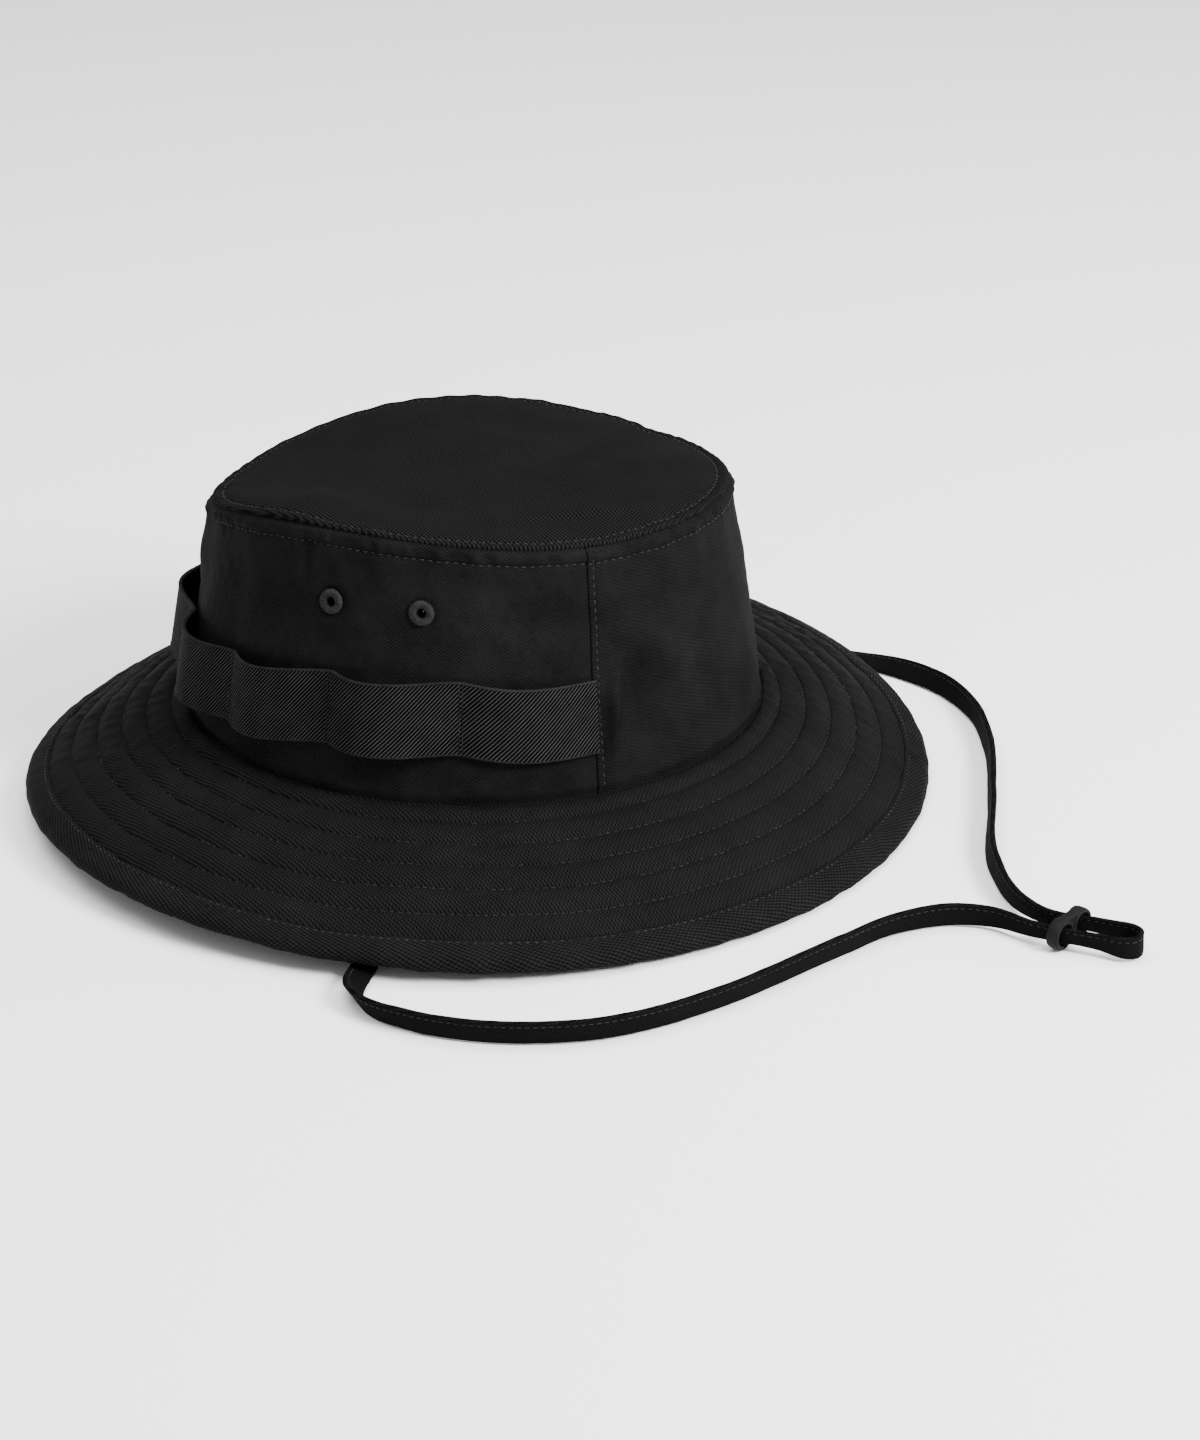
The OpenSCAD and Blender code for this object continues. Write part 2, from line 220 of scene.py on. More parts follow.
def leaned(x, y, z):
    x, y, z = np.broadcast_arrays(x, y, z)
    return np.stack([x, y - CROWN_LEAN * z, z], axis=-1)


def soft_noise(x, y, z, size, seed):
    """Smooth bumps about one size apart, mostly between -1 and 1, the same on each run."""
    rng = np.random.default_rng(seed)
    count = 12
    total = 0
    for _ in range(count):
        way = rng.normal(size=3)
        way /= np.linalg.norm(way)
        pace = 2 * math.pi / size * rng.uniform(0.55, 1.6)
        phase = rng.uniform(0, 2 * math.pi)
        total = total + np.sin(pace * (x * way[0] + y * way[1] + z * way[2]) + phase)
    return total / math.sqrt(2 * count)


def ring_noise(a, radius, z, size, seed):
    """Soft noise that joins up round the hat, at a radius from its middle."""
    return soft_noise(radius * np.cos(np.radians(a)), radius * np.sin(np.radians(a)), z, size, seed)


def wall_arc(a):
    """Length in mm round the wall of a turn in degrees."""
    return np.radians(a) * WALL_RADIUS


def wall_turn(length):
    """Turn in degrees round the wall of a length in mm."""
    return math.degrees(length / WALL_RADIUS)


def wall_steps(turn, pitch):
    """How many mesh steps, of about a pitch in mm, a turn round the wall takes."""
    return int(turn / 360 * 600 / pitch)


def wall_noise(a, z, size, seed):
    return ring_noise(a, WALL_RADIUS, z, size, seed)


def around(a, centre):
    """Angle from centre to a, between -180 and 180."""
    return (a - centre + 180) % 360 - 180


def bump(x, width):
    return np.exp(-(x / width) ** 2)


def smoothstep(low, high, x):
    t = np.clip((x - low) / (high - low), 0, 1)
    return t * t * (3 - 2 * t)


# Soft folds in the crown wall: angle, share of height, half width in degrees, half
# height as a share, slope in degrees over the whole height, and depth in mm
FOLDS = [
    [-134.0, 0.32, 1.5, 0.15, 5, 2.3], [-129, 0.42, 3.0, 0.20, 14, -1.9],
    [-124, 0.66, 4.5, 0.13, -22, -0.7], [-117, 0.38, 6.0, 0.22, -8, 0.6],
    [-104, 0.60, 7.0, 0.25, 8, -0.5], [-88, 0.30, 6.0, 0.20, -12, 0.5],
    [-144, 0.74, 4.0, 0.10, 16, -0.8], [-150, 0.60, 6.0, 0.08, 26, 0.7],
    [-158, 0.84, 5.0, 0.07, -8, -0.6], [-172, 0.62, 7.0, 0.07, 10, -0.5],
    [161, 0.90, 1.2, 0.08, 3, -1.0], [166, 0.80, 2.5, 0.10, -20, -0.5],
    [152, 0.60, 5.0, 0.20, -8, 0.6], [140, 0.55, 4.0, 0.25, 6, -0.7],
    [-160, 0.08, 6.0, 0.06, 0, 0.6], [175, 0.07, 8.0, 0.05, 0, -0.5],
    [60, 0.60, 6.0, 0.22, 8, -0.9], [35, 0.45, 5.0, 0.20, -9, 0.8],
    [5, 0.80, 6.0, 0.10, 14, -0.7], [-20, 0.60, 4.0, 0.20, -6, 0.9],
    [-62, 0.50, 3.5, 0.25, 5, -0.9], [112, 0.75, 5.0, 0.12, 10, 0.7]]


def wall_relief(a, s):
    """How far the cloth of the crown wall stands off its smooth shape."""
    v = s * WALL_SPAN
    out = 0.5 * wall_noise(a, v, 46, 3) + 0.30 * wall_noise(a, v, 20, 5)
    out = out + 0.10 * wall_noise(a, v, 8, 6)
    for angle, share, wide, tall, slope, depth in FOLDS:
        off = around(a, angle) - slope * (s - share)
        out = out + 1.6 * depth * bump(off, wide) * bump(s - share, tall)
    out = out + 0.65 * wall_noise(a, 0, 4.5, 8) * bump(s - 0.97, 0.024)
    out = out + 0.25 * wall_noise(a, 0, 9, 8) * bump(s - 0.93, 0.05)
    out = out + 0.35 * wall_noise(a, 0, 9, 9) * bump(s - 0.03, 0.05)
    calm = smoothstep(0, 0.06, s) * (1 - smoothstep(0.97, 1, s))
    roll = 0.55 * bump(s - 0.970, 0.022) - 0.5 * bump(s - 0.94, 0.006)
    roll = roll - SEAM_SINK * smoothstep(0.984, 1, s)
    foot = 1.3 * (1 - smoothstep(-0.01, 0.035, s))
    return out * (0.25 + 0.75 * calm) + roll - foot


def seam_ridge(a):
    """Seam allowances that raise the front panel's edges and the rear seam, and their dips."""
    out = 0
    for seam, side in ((RIGHT_SEAM, 1), (LEFT_SEAM + 360, -1)):
        off = wall_arc(around(a, seam)) * side
        ridge = smoothstep(-0.1, 0.5, off) * (1 - smoothstep(5.5, 8.5, off))
        out = out + 0.45 * ridge - 0.2 * bump(off - 2.2, 0.6)
    rear = wall_arc(around(a, REAR))
    return out - 0.4 * bump(rear, 0.7) + 0.3 * bump(np.abs(rear) - 3, 1.6)


def wall_point(a, s, t):
    """A point of the crown wall: s from 0 at the brim to 1 at the tip, t mm outward."""
    return leaned((mix(OPENING_RX, TIP_RX, s) + t) * np.cos(np.radians(a)),
                  (mix(OPENING_RY, TIP_RY, s) + t) * np.sin(np.radians(a)),
                  mix(seat_z(a), tip_z(a), s))


def wall_share(a, z):
    return (z - seat_z(a)) / (tip_z(a) - seat_z(a))


def wall_cloth(a, s):
    return wall_point(a, s, wall_relief(a, s) + seam_ridge(a))


def tip_cloth(a, q):
    """A point of the crown's top: q from 0 in the middle to 1 at the seam."""
    rim = wall_point(a, np.ones_like(q), 0.3 - (SEAM_SINK + 0.3) * smoothstep(0.986, 1, q))
    flat = leaned(q * rim[..., 0], q * (rim[..., 1] + CROWN_LEAN * tip_z(a)), 0)
    x, y = flat[..., 0], flat[..., 1]
    height = mix(TIP_HEIGHT + 0.5, tip_z(a), q ** 2) + TIP_DOME * (1 - q ** 7)
    height = height + 0.9 * soft_noise(x, y, 0, 58, 21) * (1 - q ** 4)
    height = height + 0.45 * soft_noise(x, y, 0, 24, 22) * (1 - q ** 6)
    pull = bump(x + 52, 16) * bump(y - 34, 15) - 0.8 * bump(x + 40, 12) * bump(y - 12, 14)
    crease = bump(y * 0.9 + x * 0.35 + 18, 9) * bump(x - 30, 34)
    fold = bump(x + 0.6 * y + 66, 3.5) * bump(y + 48, 20)
    inset = (1 - q) * TIP_RADIUS
    pucker = ring_noise(a, TIP_RADIUS, 0, 6.5, 8) * bump(q - 0.955, 0.04)
    height = height + 3.0 * pull - 2.0 * crease + 1.8 * fold + 0.4 * pucker
    height = height - 0.45 * bump(inset - 5, 0.8) + 0.9 * bump(inset - 2.2, 1.5)
    height = height - 0.9 * smoothstep(0.986, 1, q)
    return np.stack([x, y - CROWN_LEAN * height, height], axis=-1)


def row_depth(d):
    """1 half way between two stitch rows, 0 on a row."""
    phase = np.where(d < FIRST_ROW, np.clip(d, 0, None) / FIRST_ROW, (d - FIRST_ROW) / ROW_PITCH % 1)
    return np.sin(np.pi * phase) ** 0.55


def brim_mid(a, d):
    """Height of the brim's middle layer, from the seat to its wavy edge."""
    edge = EDGE_MEAN + wave(EDGE_WAVE, a)
    inner = seat_z(a) - BRIM_HALF
    return mix(inner, edge + BRIM_HALF, d / BRIM_WIDTH)


def brim_sag(a, d):
    """Slow ripples of the whole brim, strongest at its left front, and its slight arch."""
    share = d / BRIM_WIDTH
    calm = share * (1 - share ** 6)
    slow = 1.2 * ring_noise(a, 130, 0.15 * d, 95, 31)
    quick = (0.5 + 0.7 * bump(around(a, -62), 45)) * ring_noise(a, 130, 0.3 * d, 40, 32)
    return calm * (slow + quick) + 1.6 * np.sin(np.pi * share) ** 2


def brim_point(a, d, h):
    """A point of the brim: d mm out from the crown seam, h mm over its middle layer."""
    z = brim_mid(a, d) + brim_sag(a, d) + h
    return leaned((OPENING_RX + d) * np.cos(np.radians(a)),
                  (OPENING_RY + d) * np.sin(np.radians(a)), z)


def brim_pucker(a, d, seed):
    """Short creases across each channel, drawn up by its stitches."""
    channel = 37.0 * np.floor((d - FIRST_ROW) / ROW_PITCH)
    deep = ring_noise(a, 98 + d, channel + 0.35 * d, 11, seed)
    fine = ring_noise(a, 98 + d, channel + 0.5 * d, 5, seed + 1)
    patchy = 0.6 + 0.8 * np.clip(ring_noise(a, 120, d, 70, seed + 2), 0, 1)
    return 0.38 * (deep + 0.55 * fine) * patchy * (0.35 + 0.65 * row_depth(d))


def brim_top(a, d):
    puff = 1.35 * row_depth(d) + 1.15 * brim_pucker(a, d, 41)
    return brim_point(a, d, 0.9 + puff)


def brim_bottom(a, d):
    puff = 0.55 * row_depth(d) + 0.7 * brim_pucker(a, d, 51)
    return brim_point(a, d, -1.0 - puff)


def loop_slack(a):
    """How far the webbing stands off the wall: each loop bulges most near its rear end."""
    run = np.clip((RIGHT_SEAM - a) / LOOP_ARC, 0, 2 * LOOPS_PER_SIDE - 1e-6)
    index = np.floor(run).astype(int)
    phase = run - index
    back = np.where(index < LOOPS_PER_SIDE, phase, 1 - phase)
    return 0.3 + np.array(LOOP_SLACK)[index] * np.sin(np.pi * back ** 1.5)


def webbing_face(a, w):
    """Outer face of the webbing: w from 0 at its lower edge to 1 at its upper one."""
    z = seat_z(a) + WEBBING_RISE + wave(WEBBING_WAVE, a) + WEBBING_WIDTH * w
    s = wall_share(a, z)
    slack = loop_slack(a)
    lean = 1 + 0.16 * (w - 0.5) * wall_noise(a, 0, 60, 62)
    edge = 0.2 * bump((w - 0.02) * WEBBING_WIDTH, 0.5)
    edge = edge + 0.2 * bump((w - 0.98) * WEBBING_WIDTH, 0.5)
    droop = -0.5 * np.clip(slack - 1, 0, 4) / 4
    point = wall_point(a, s, slack * lean + WEBBING_THICK + edge)
    point[..., 2] += droop + 0.35 * wall_noise(a, 0, 40, 63)
    return point


# ---------------------------------------------------------------- mesh building

def mesh_object(name, verts, faces, grain, material, body="hat"):
    """A piece from points in mm, with its own grain coordinates in mm for the weave."""
    mesh = bpy.data.meshes.new(name)
    mesh.from_pydata((np.asarray(verts) * MM).tolist(), [], faces)
    layer = mesh.attributes.new("grain", "FLOAT_VECTOR", "POINT")
    layer.data.foreach_set("vector", np.asarray(grain, np.float32).ravel())
    mesh.polygons.foreach_set("use_smooth", [True] * len(mesh.polygons))
    mesh.materials.append(material)
    mesh.update()
    obj = bpy.data.objects.new(name, mesh)
    bpy.context.scene.collection.objects.link(obj)
    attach(obj, body)
    return obj


def grid_normals(p, wrap):
    """Unit normals of a grid of points, from its neighbours both ways."""
    if wrap:
        du = np.roll(p, -1, 0) - np.roll(p, 1, 0)
    else:
        du = np.gradient(p, axis=0)
    n = np.cross(du, np.gradient(p, axis=1))
    return n / np.maximum(np.linalg.norm(n, axis=-1, keepdims=True), 1e-9)


def torus_faces(rows, columns, base):
    """Quads of a grid that closes on itself both ways."""
    faces = []
    for i in range(rows):
        k = (i + 1) % rows
        for j in range(columns):
            m = (j + 1) % columns
            faces.append((base + i * columns + j, base + k * columns + j,
                          base + k * columns + m, base + i * columns + m))
    return faces


def shell(name, outer, grain, thick, material, wrap=False, skip=None, flip=False, hub=None):
    """Closed shell of a thickness under a grid of points.

    skip marks grid cells left open, and hub is a point that the last row closes onto.
    """
    nu, nv = outer.shape[:2]
    normals = grid_normals(outer, wrap)
    if flip:
        normals = -normals
    inner = outer - normals * thick
    verts = np.concatenate([outer.reshape(-1, 3), inner.reshape(-1, 3)])
    both = np.concatenate([grain.reshape(-1, 3)] * 2)
    base = nu * nv
    faces = []
    last = nu if wrap else nu - 1
    for i in range(last):
        k = (i + 1) % nu
        for j in range(nv - 1):
            if skip is not None and skip[i, j]:
                continue
            quad = (i * nv + j, k * nv + j, k * nv + j + 1, i * nv + j + 1)
            faces.append(quad[::-1] if flip else quad)
            back = tuple(base + v for v in quad)
            faces.append(back if flip else back[::-1])
        for j, turn in ((0, True), (nv - 1, False)):
            if j and hub is not None:
                faces.append((i * nv + j, k * nv + j, 2 * base))
                faces.append((base + k * nv + j, base + i * nv + j, 2 * base + 1))
                continue
            rim = (i * nv + j, k * nv + j, base + k * nv + j, base + i * nv + j)
            faces.append(rim[::-1] if turn != flip else rim)
    if not wrap:
        for i, turn in ((0, False), (nu - 1, True)):
            for j in range(nv - 1):
                rim = (i * nv + j, i * nv + j + 1, base + i * nv + j + 1, base + i * nv + j)
                faces.append(rim[::-1] if turn != flip else rim)
    if hub is not None:
        verts = np.vstack([verts, hub, hub - [0, 0, thick]])
        both = np.vstack([both, hub * [1, 1, 0], hub * [1, 1, 0]])
    return mesh_object(name, verts, faces, both, material)


def plan_grain(points):
    """Grain of a panel cut flat: straight across the plan."""
    return np.stack([points[..., 0], points[..., 1], np.zeros(points.shape[:2])], axis=-1)


def wall_grain(a, s):
    return np.stack([np.radians(a) * WEAVE_RADIUS, s * WALL_SPAN, np.zeros_like(a)], axis=-1)


def stitch_frames(points, normals, pitch):
    """Middle, direction, side and up of each stitch of a run."""
    step = np.linalg.norm(np.diff(points, axis=0), axis=1)
    dist = np.concatenate([[0], np.cumsum(step)])
    number = max(int(dist[-1] / pitch), 1)
    centre = (np.arange(number) + 0.5) * dist[-1] / number

    def sample(rows, at):
        return np.stack([np.interp(at, dist, rows[:, k]) for k in range(3)], 1)

    way = sample(points, centre + 0.4) - sample(points, centre - 0.4)
    way /= np.linalg.norm(way, axis=1, keepdims=True)
    side = np.cross(way, sample(normals, centre))
    side /= np.linalg.norm(side, axis=1, keepdims=True)
    return sample(points, centre), way, side, np.cross(side, way)


def stitches(name, runs, material):
    """Raised stitches along runs.  A run is (points, normals, pitch, length, width)."""
    sides = 6
    # Place along the stitch as a share of its length, and how fat it is there
    rings = [(-0.5, 0.15), (-0.4, 0.8), (-0.12, 1.0), (0.12, 1.0), (0.4, 0.8), (0.5, 0.15)]
    turn = np.arange(sides) / sides * 2 * math.pi
    all_verts, faces = [], []
    count = 0
    for points, normals, pitch, length, width in runs:
        place, way, side, up = stitch_frames(points, normals, pitch)
        number = len(place)
        for share, fat in rings:
            dip = -0.35 * width * (2 * abs(share)) ** 2
            for t in turn:
                across = side * (0.5 * width * fat * math.cos(t))
                rise = up * (0.42 * width * fat * math.sin(t) + dip)
                off = across + rise
                all_verts.append(place + way * (share * length) + off)
        base = count
        for r in range(len(rings) - 1):
            for k in range(sides):
                m = (k + 1) % sides
                quad = [base + (r * sides + k) * number, base + (r * sides + m) * number,
                        base + ((r + 1) * sides + m) * number, base + ((r + 1) * sides + k) * number]
                faces.extend((np.array(quad)[None, :] + np.arange(number)[:, None]).tolist())
        for r, order in ((0, range(sides - 1, -1, -1)), (len(rings) - 1, range(sides))):
            cap = np.array([base + (r * sides + k) * number for k in order])
            faces.extend((cap[None, :] + np.arange(number)[:, None]).tolist())
        count = base + len(rings) * sides * number
    verts = np.concatenate(all_verts)
    return mesh_object(name, verts, faces, verts, material)


def surface_run(surface, u, v, lift, sign, pitch=2.7, length=1.6, width=0.55):
    """A run of stitches along the line (u, v) of a surface function."""
    u, v = np.broadcast_arrays(np.asarray(u, float), np.asarray(v, float))
    p = surface(u, v)
    du = surface(u + 0.2, v) - p
    dv = surface(u, v + 0.002 * max(1.0, float(np.abs(v).max()))) - p
    n = np.cross(du, dv)
    n = sign * n / np.linalg.norm(n, axis=1, keepdims=True)
    return p + n * lift, n, pitch, length, width


# ---------------------------------------------------------------- materials

class Nodes:
    """Short way to add and link shader nodes."""

    def __init__(self, name):
        self.material = bpy.data.materials.new(name)
        self.material.use_nodes = True
        self.tree = self.material.node_tree
        self.shader = self.tree.nodes["Principled BSDF"]

    def add(self, kind, **settings):
        node = self.tree.nodes.new(kind)
        for key, value in settings.items():
            setattr(node, key, value)
        return node

    def link(self, source, target):
        self.tree.links.new(source, target)

    def math(self, operation, a, b):
        node = self.add("ShaderNodeMath", operation=operation)
        for socket, value in zip(node.inputs, (a, b)):
            if isinstance(value, (int, float)):
                socket.default_value = value
            else:
                self.link(value, socket)
        return node.outputs[0]

    def scaled(self, vector, turn, scale):
        node = self.add("ShaderNodeMapping")
        node.inputs["Rotation"].default_value = (0, 0, math.radians(turn))
        node.inputs["Scale"].default_value = scale
        self.link(vector, node.inputs["Vector"])
        return node.outputs[0]

    def noise(self, vector, scale, detail=3.0, rough=0.55):
        node = self.add("ShaderNodeTexNoise")
        node.inputs["Scale"].default_value = scale
        node.inputs["Detail"].default_value = detail
        node.inputs["Roughness"].default_value = rough
        self.link(vector, node.inputs["Vector"])
        return node.outputs["Fac"]

    def bands(self, vector, pitch, warp=0.0):
        node = self.add("ShaderNodeTexWave", bands_direction="X", wave_profile="SIN")
        node.inputs["Scale"].default_value = 0.314 / pitch
        node.inputs["Distortion"].default_value = warp
        node.inputs["Detail"].default_value = 1.0
        node.inputs["Detail Scale"].default_value = 2.0
        self.link(vector, node.inputs["Vector"])
        return node.outputs["Fac"]

    def ramp(self, value, stops):
        node = self.add("ShaderNodeValToRGB")
        while len(node.color_ramp.elements) < len(stops):
            node.color_ramp.elements.new(0.5)
        for element, (place, colour) in zip(node.color_ramp.elements, stops):
            element.position = place
            element.color = (*colour, 1)
        self.link(value, node.inputs["Fac"])
        return node.outputs["Color"]

    def finish(self, colour, height, depth, strength, roughness, specular):
        self.link(colour, self.shader.inputs["Base Color"])
        relief = self.add("ShaderNodeBump")
        relief.inputs["Distance"].default_value = depth
        relief.inputs["Strength"].default_value = strength
        self.link(height, relief.inputs["Height"])
        self.link(relief.outputs["Normal"], self.shader.inputs["Normal"])
        if isinstance(roughness, float):
            self.shader.inputs["Roughness"].default_value = roughness
        else:
            self.link(roughness, self.shader.inputs["Roughness"])
        self.shader.inputs["Specular IOR Level"].default_value = specular
        return self.material


def grey(level):
    return (level, level, level)


def grain_of(n):
    """The grain coordinates that mesh_object stored, in mm."""
    node = n.add("ShaderNodeAttribute", attribute_name="grain", attribute_type="GEOMETRY")
    return node.outputs["Vector"]


def twill(name, dark, light, turn, pitch=1.0, cross=1.1, rough=0.72, specular=0.015, crisp=0.52):
    """Woven cloth: diagonal ribs broken by cross threads, slubs and faint fading."""
    n = Nodes(name)
    grain = grain_of(n)
    ribs = n.bands(n.scaled(grain, turn, (1, 1, 1)), pitch, 0.6)
    threads = n.bands(n.scaled(grain, turn + 90 - 28, (1, 1, 1)), cross, 0.5)
    weave = n.math("MULTIPLY", n.math("ADD", ribs, n.math("MULTIPLY", threads, 0.55)), 0.65)
    slub = n.noise(n.scaled(grain, 0, (0.5, 1.6, 1)), 0.9, 4.0, 0.6)
    fade = n.noise(grain, 0.045, 3.0, 0.6)
    tone = n.math("ADD", n.math("MULTIPLY", weave, crisp), n.math("MULTIPLY", slub, 0.28))
    tone = n.math("ADD", tone, n.math("MULTIPLY", fade, 0.78 - crisp))
    middle = tuple(0.5 * (a + b) for a, b in zip(dark, light))
    colour = n.ramp(tone, [(0.30, dark), (0.62, middle), (0.88, light)])
    height = n.math("ADD", weave, n.math("MULTIPLY", slub, 0.5))
    shine = n.math("ADD", n.math("MULTIPLY", fade, 0.16), rough - 0.08)
    return n.finish(colour, height, 0.00022, 1.4 * crisp, shine, specular)


def webbing_material():
    """Heavy elastic webbing: diagonal ribs, faintly cut across, and plain edges at grain.z 0."""
    n = Nodes("webbing_weave")
    grain = grain_of(n)
    parts = n.add("ShaderNodeSeparateXYZ")
    n.link(grain, parts.inputs[0])
    flat = n.scaled(grain, 0, (1, 1, 0))
    ribs = n.bands(n.scaled(flat, 45, (1, 1, 1)), 1.0)
    threads = n.bands(n.scaled(flat, -45, (1, 1, 1)), 1.0)
    slub = n.noise(flat, 0.15, 2.0)
    weave = n.math("ADD", n.math("MULTIPLY", ribs, 0.92), n.math("MULTIPLY", threads, 0.08))
    body = n.math("MULTIPLY", weave, parts.outputs[2])
    edge = n.math("MULTIPLY", n.math("SUBTRACT", 1.0, parts.outputs[2]), 0.72)
    cells = n.math("ADD", body, edge)
    tone = n.math("ADD", n.math("MULTIPLY", cells, 0.85), n.math("MULTIPLY", slub, 0.2))
    colour = n.ramp(tone, [(0.28, grey(0.0001)), (0.6, grey(0.0025)), (0.95, grey(0.032))])
    return n.finish(colour, ribs, 0.0003, 0.8, 0.7, 0.02)


def thread_material(name, dark, light, depth=False):
    """Twisted thread: fine slanting plies with a soft shine, and if depth is set, painted shade that
    darkens it by grain.z, the deeper it runs into a hole.
    """
    n = Nodes(name)
    grain = grain_of(n)
    plies = n.bands(n.scaled(grain, 30, (1, 1, 1)), 0.35)
    patches = n.noise(grain, 0.4)
    tone = n.math("ADD", n.math("MULTIPLY", plies, 0.5), n.math("MULTIPLY", patches, 0.5))
    # Painted shade: grain.z darkens the thread down inside the eyelet's hole
    if depth:
        parts = n.add("ShaderNodeSeparateXYZ")
        n.link(grain, parts.inputs[0])
        tone = n.math("SUBTRACT", tone, parts.outputs[2])
    colour = n.ramp(tone, [(0.2, dark), (0.8, light)])
    return n.finish(colour, plies, 0.0001, 0.6, 0.5, 0.08)


def rubber_material():
    """Satin moulded rubber with a faint grain and softly rubbed patches."""
    n = Nodes("slider_rubber")
    coords = n.add("ShaderNodeTexCoord").outputs["Object"]
    patches = n.noise(coords, 160, 3.0)
    fine = n.noise(coords, 2600, 2.0)
    colour = n.ramp(patches, [(0.3, (0.0052, 0.0052, 0.0054)), (0.75, (0.0085, 0.0085, 0.0087))])
    rough = n.math("ADD", n.math("MULTIPLY", patches, 0.2), 0.5)
    return n.finish(colour, fine, 0.00005, 0.4, rough, 0.05)


DARK = grey(0.0012)
LIGHT = (0.0125, 0.0123, 0.0122)
CROWN_TWILL = twill("crown_side_twill", DARK, LIGHT, turn=55, pitch=0.8, cross=0.9, crisp=0.30)
FRONT_TWILL = twill("front_panel_twill", DARK, LIGHT, turn=50, pitch=0.6, rough=0.75, specular=0.012,
                    crisp=0.32)
TIP_TWILL = twill("tip_twill", DARK, LIGHT, turn=35, pitch=1.2, rough=0.8, specular=0.01, crisp=0.62)
BRIM_TWILL = twill("brim_twill", DARK, (0.0112, 0.0110, 0.0109), turn=28, specular=0.02)
BINDING_TWILL = twill("binding_twill", DARK, LIGHT, turn=70, rough=0.66)
UNDER_TWILL = twill("under_brim_twill", (0.003, 0.003, 0.0035), (0.014, 0.014, 0.015), turn=28)
LINING = twill("lining_cloth", (0.006, 0.006, 0.0065), (0.022, 0.022, 0.024), turn=0, pitch=0.5)
SWEAT_KNIT = twill("sweatband_knit", (0.004, 0.004, 0.0045), (0.016, 0.016, 0.017), turn=90,
                   pitch=1.1, cross=1.0)
LABEL = twill("label_satin", (0.012, 0.012, 0.013), (0.034, 0.034, 0.036), turn=90,
              pitch=0.3, rough=0.5)
CORD_TWILL = twill("cord_twill", (0.0010, 0.0010, 0.0012), (0.0065, 0.0065, 0.007), turn=85,
                   pitch=0.7)
WEBBING = webbing_material()
THREAD = thread_material("topstitch_thread", grey(0.004), grey(0.025))
TACK_THREAD = thread_material("tack_thread", grey(0.002), grey(0.010))
BRIM_THREAD = thread_material("brim_thread", grey(0.003), grey(0.026))
# The eyelet thread carries painted shade, darker down inside each hole
EYELET_THREAD = thread_material("eyelet_thread", grey(0.002), grey(0.024), depth=True)
RUBBER = rubber_material()


# ---------------------------------------------------------------- cord and slider

def route_frames():
    """Centre, level and upright directions and half width all along the cord."""
    centre = ROUTE[:, :3]
    way = np.gradient(centre, axis=0)
    way /= np.linalg.norm(way, axis=1, keepdims=True)
    level = np.cross(way, [0, 0, 1.0])
    level /= np.linalg.norm(level, axis=1, keepdims=True)
    upright = np.cross(level, way)
    roll = np.radians(ROUTE[:, 3:4])
    wide = level * np.cos(roll) + upright * np.sin(roll)
    return centre, wide, np.cross(way, wide), 0.5 * ROUTE[:, 4]


# The tape's section, in half widths and half thicknesses, with a sewn groove on each face
SEW_LINE = 0.62
TAPE_SECTION = [
    (-0.98, -0.55), (-0.90, -0.95), (-0.5, -1.0), (0.0, -0.98), (0.5, -1.0), (SEW_LINE, -0.8),
    (0.74, -1.0), (0.92, -0.95), (1.0, -0.5), (1.0, 0.5), (0.92, 0.95), (0.74, 1.0),
    (SEW_LINE, 0.8), (0.5, 1.0), (0.0, 0.98), (-0.5, 1.0), (-0.90, 0.95), (-0.98, 0.55)]


def chin_cord():
    """The tape swept along the route, and its centre line."""
    centre, wide, thin, half = route_frames()
    length = np.concatenate([[0], np.cumsum(np.linalg.norm(np.diff(centre, axis=0), axis=1))])
    n, m = len(centre), len(TAPE_SECTION)
    verts = np.zeros((n, m, 3))
    grain = np.zeros((n, m, 3))
    for j, (w, h) in enumerate(TAPE_SECTION):
        wrinkle = 0.10 * soft_noise(length, 4.0 * w, 0, 7, 91)
        thick = 0.5 * TAPE_THICK * h * (1 + wrinkle)
        verts[:, j] = centre + wide * (half * w)[:, None] + thin * thick[:, None]
        grain[:, j] = np.stack([length, np.full(n, 4 * w), np.full(n, 1.0 * h)], axis=1)
    faces = []
    for i in range(n - 1):
        for j in range(m):
            k = (j + 1) % m
            faces.append((i * m + j, i * m + k, (i + 1) * m + k, (i + 1) * m + j))
    faces.append(tuple(range(m))[::-1])
    faces.append(tuple((n - 1) * m + j for j in range(m)))
    cord = mesh_object("chin_cord_tape", verts.reshape(-1, 3), faces, grain.reshape(-1, 3),
                       CORD_TWILL)
    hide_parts("chin_cord")
    return cord, centre


def cord_stitch_runs():
    """One row of stitches in the groove on each face of the tape."""
    centre, wide, thin, half = route_frames()
    groove = centre + wide * (half * SEW_LINE)[:, None]
    runs = []
    for side in (-1, 1):
        points = groove + thin * side * (0.5 * TAPE_THICK * 0.84)
        runs.append((points, thin * side, 2.4, 1.8, 0.42))
    return runs


def slider_outline(radius):
    """Outline of the bead: two round ends joined by nearly straight sides."""
    points = []
    for side in (1, -1):
        for t in np.linspace(-0.5, 0.5, 48) * math.pi * 1.06:
            points.append((side * (STRAND + radius * math.cos(t)), side * radius * math.sin(t)))
    return points


